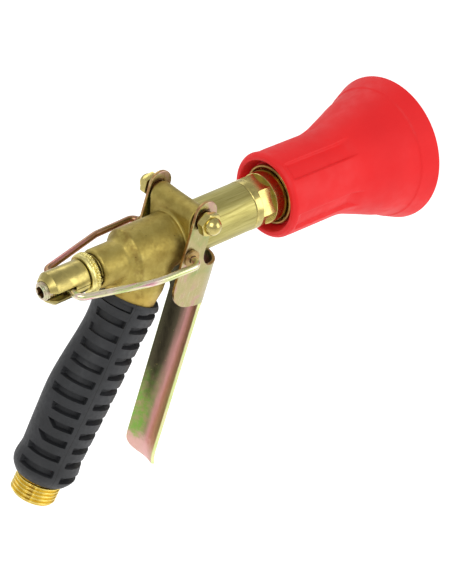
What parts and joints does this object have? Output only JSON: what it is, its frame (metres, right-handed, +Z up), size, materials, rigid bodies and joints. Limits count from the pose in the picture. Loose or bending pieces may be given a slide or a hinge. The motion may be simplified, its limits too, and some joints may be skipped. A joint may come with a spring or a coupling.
{
  "type": "trigger spray gun with bell guard",
  "caption": "Hose-end trigger spray gun: brass body with ribbed rubber grip, squeeze lever pulling the valve stem through a wire yoke, and a wide red bell guard round the outlet.",
  "frame": {"origin": "centre of the inlet thread's end face, where the hose fitting screws on", "axes": "+X along the barrel towards the outlet, +Y to the gun's left, +Z up; the handle leans forward from the origin to the barrel"},
  "size_m": [0.2169, 0.0706, 0.1576],
  "materials": {
    "forged_brass": "matte, as forged",
    "turned_brass": "turned, bright",
    "zinc_yellow": "zinc plated, yellow passivated",
    "red_plastic": "satin, moulded",
    "grip_rubber": "matte, moulded",
    "steel": "ground",
    "seal_rubber": "matte"
  },
  "bodies": {
    "frame": {"body_forging": "forged_brass", "grip_sleeve": "grip_rubber", "gland_nut": "turned_brass", "stem_seal": "seal_rubber", "packing_washer": "steel", "return_spring": "steel", "outlet_adapter": "turned_brass", "adapter_o_ring": "seal_rubber", "swirl_core": "turned_brass", "orifice_seal": "seal_rubber", "orifice_disc": "steel", "nozzle_cap": "turned_brass", "spiral_ring": "steel", "pivot_bolt_right": "turned_brass", "pivot_bolt_left": "turned_brass", "pivot_washer_right": "turned_brass", "pivot_washer_left": "turned_brass"},
    "guard": {"cone_guard": "red_plastic"},
    "trigger": {"lever": "zinc_yellow"},
    "yoke": {"wire_yoke": "zinc_yellow", "hook_washer_right": "steel", "hook_washer_left": "steel"},
    "stem": {"stem_rod": "steel", "needle_tip": "steel", "needle_seal": "seal_rubber", "spring_seat": "steel", "stem_sleeve": "turned_brass", "lock_ring": "turned_brass"},
    "adjuster": {"set_screw": "zinc_yellow"}
  },
  "joints": [
    {"name": "lever_pivot", "type": "hinge", "parent": "frame", "child": "trigger", "pos_m": [0.0785, 0, 0.12325], "axis": [0, 1, 0], "range_deg": [0, 16], "stiffness_Nm_per_rad": 1.2, "springref_deg": -20.05},
    {"name": "yoke_swing", "type": "hinge", "parent": "trigger", "child": "yoke", "pos_m": [0.072, 0, 0.10725], "axis": [0, 1, 0], "range_deg": [-19, 0]},
    {"name": "stem_slide", "type": "slide", "parent": "frame", "child": "stem", "axis": [-1, 0, 0], "range_m": [0, 0.0042], "deforming": ["return_spring"]},
    {"name": "set_screw_turn", "type": "hinge", "parent": "stem", "child": "adjuster", "pos_m": [0.0117, 0, 0.10825], "axis": [1, 0, 0], "continuous": true},
    {"name": "guard_turn", "type": "hinge", "parent": "frame", "child": "guard", "pos_m": [0.136, 0, 0.10825], "axis": [0.9998, 0, -0.0175], "continuous": true}
  ],
  "couplings": [
    {"joint": "yoke_swing", "follows": "lever_pivot", "ratio": -1.16},
    {"joint": "stem_slide", "follows": "lever_pivot", "m_per_rad": 0.0148}
  ]
}
